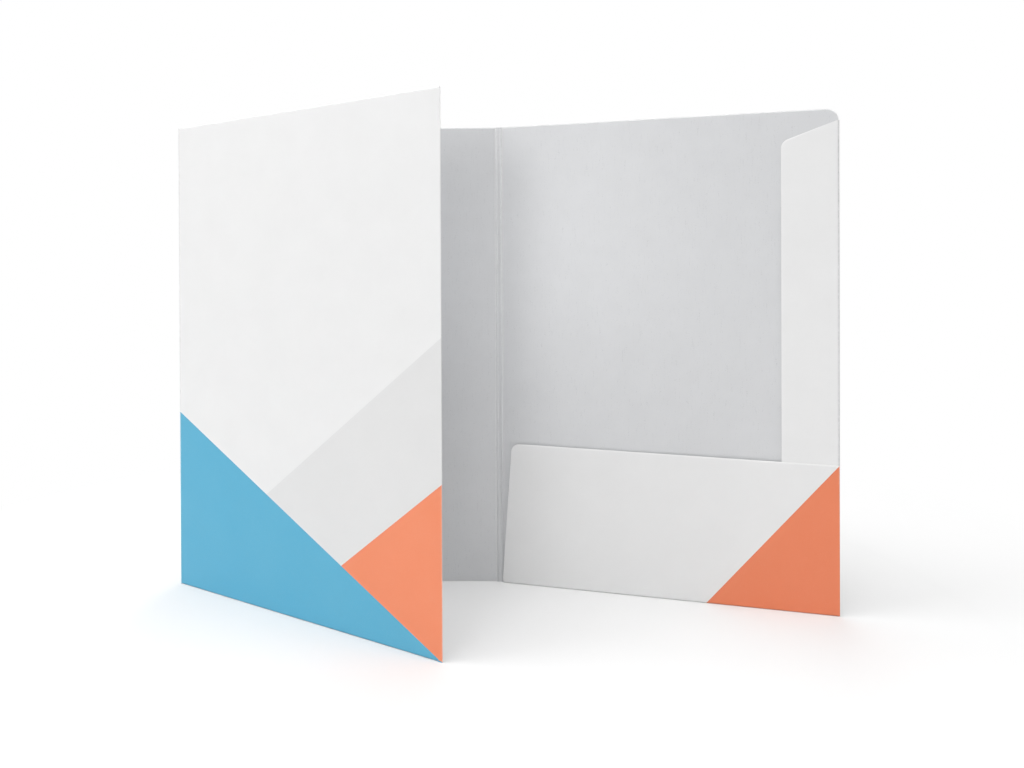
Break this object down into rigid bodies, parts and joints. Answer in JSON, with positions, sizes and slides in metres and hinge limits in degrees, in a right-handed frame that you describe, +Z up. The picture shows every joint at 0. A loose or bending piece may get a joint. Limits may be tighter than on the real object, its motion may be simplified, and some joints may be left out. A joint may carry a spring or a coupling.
{
  "type": "presentation folder",
  "caption": "Card presentation folder with a front cover, centre panel and right panel on creased spines, and glued pockets inside, standing half open.",
  "frame": {"origin": "middle of the centre panel's bottom edge, on the surface that the folder stands on", "axes": "+X along the centre panel to the right as seen from the inside, +Y away from the inside of the centre panel, +Z up"},
  "size_m": [0.4275, 0.1034, 0.31],
  "materials": {
    "plain_card": "matt coated card, white outside and pale grey inside",
    "printed_card": "matt coated white card with flat blue and orange print",
    "glue": "set hot-melt glue"
  },
  "bodies": {
    "centre_panel": {"centre_panel": "plain_card"},
    "front_spine": {"front_spine": "plain_card"},
    "front_cover": {"front_cover": "printed_card", "front_pocket_fold": "plain_card", "front_pocket": "plain_card", "glue_tab_fold": "plain_card", "glue_tab": "plain_card", "front_pocket_glue": "glue"},
    "right_spine": {"right_spine": "plain_card"},
    "right_panel": {"right_panel": "plain_card", "side_flap_fold": "plain_card", "side_flap": "plain_card", "right_pocket_fold": "printed_card", "right_pocket": "printed_card", "right_pocket_glue": "glue"}
  },
  "joints": [
    {"name": "front_spine_fold", "type": "hinge", "parent": "centre_panel", "child": "front_spine", "pos_m": [-0.1075, 0, 0], "axis": [0, 0, 1], "range_deg": [-76.5, 13.5]},
    {"name": "front_cover_fold", "type": "hinge", "parent": "front_spine", "child": "front_cover", "pos_m": [-0.1089, -0.00583, 0], "axis": [0, 0, 1], "range_deg": [-76.5, 13.5]},
    {"name": "right_spine_fold", "type": "hinge", "parent": "centre_panel", "child": "right_spine", "pos_m": [0.1075, 0, 0], "axis": [0, 0, -1], "range_deg": [-6.25, 38.75]},
    {"name": "right_panel_fold", "type": "hinge", "parent": "right_spine", "child": "right_panel", "pos_m": [0.11048, -0.00033, 0], "axis": [0, 0, -1], "range_deg": [-6.25, 38.75]}
  ],
  "couplings": [
    {"joint": "front_spine_fold", "follows": "front_cover_fold", "ratio": 1},
    {"joint": "right_spine_fold", "follows": "right_panel_fold", "ratio": 1}
  ]
}
